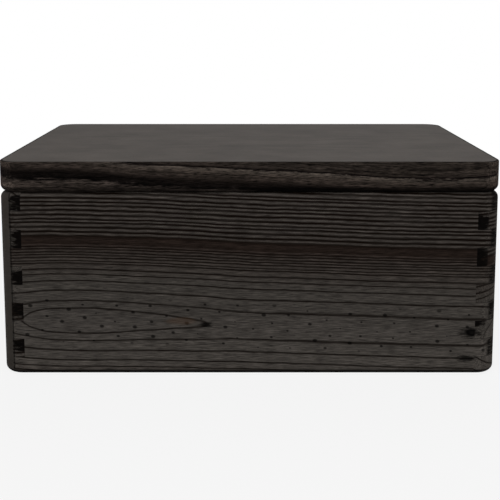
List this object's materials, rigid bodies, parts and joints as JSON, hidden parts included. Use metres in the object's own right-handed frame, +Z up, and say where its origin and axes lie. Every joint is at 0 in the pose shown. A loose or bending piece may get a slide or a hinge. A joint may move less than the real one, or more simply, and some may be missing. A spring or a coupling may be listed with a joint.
{
  "type": "wooden storage box with hinged lid",
  "caption": "Low rectangular wooden box with finger-jointed corners and a solid slab lid on butt hinges at the back, stained near-black, rounded edges along the seam.",
  "frame": {"origin": "middle of the base, on the surface the box stands on", "axes": "+X to the right along the front, +Y from the front to the hinged back, +Z up"},
  "size_m": [0.3, 0.2, 0.1305],
  "materials": {
    "stained_pine_body": "near-black stain with open grain",
    "stained_pine_lid": "near-black stain, sanded smooth",
    "plywood": "near-black stain over thin plywood",
    "hinge_steel": "brass-plated steel, slightly dulled"
  },
  "bodies": {
    "box": {"front_board": "stained_pine_body", "right_board": "stained_pine_body", "back_board": "stained_pine_body", "left_board": "stained_pine_body", "bottom_panel": "plywood", "left_hinge_body_leaf": "hinge_steel", "right_hinge_body_leaf": "hinge_steel", "left_hinge_pin": "hinge_steel", "right_hinge_pin": "hinge_steel", "body_hinge_screws": "hinge_steel"},
    "lid": {"lid_stave_1": "stained_pine_lid", "lid_stave_2": "stained_pine_lid", "lid_stave_3": "stained_pine_lid", "lid_stave_4": "stained_pine_lid", "lid_stave_5": "stained_pine_lid", "left_hinge_lid_leaf": "hinge_steel", "right_hinge_lid_leaf": "hinge_steel", "lid_hinge_screws": "hinge_steel"}
  },
  "joints": [
    {"name": "lid_hinge", "type": "hinge", "parent": "box", "child": "lid", "pos_m": [0, 0.098, 0.112], "axis": [-1, 0, 0], "range_deg": [0, 103]}
  ]
}
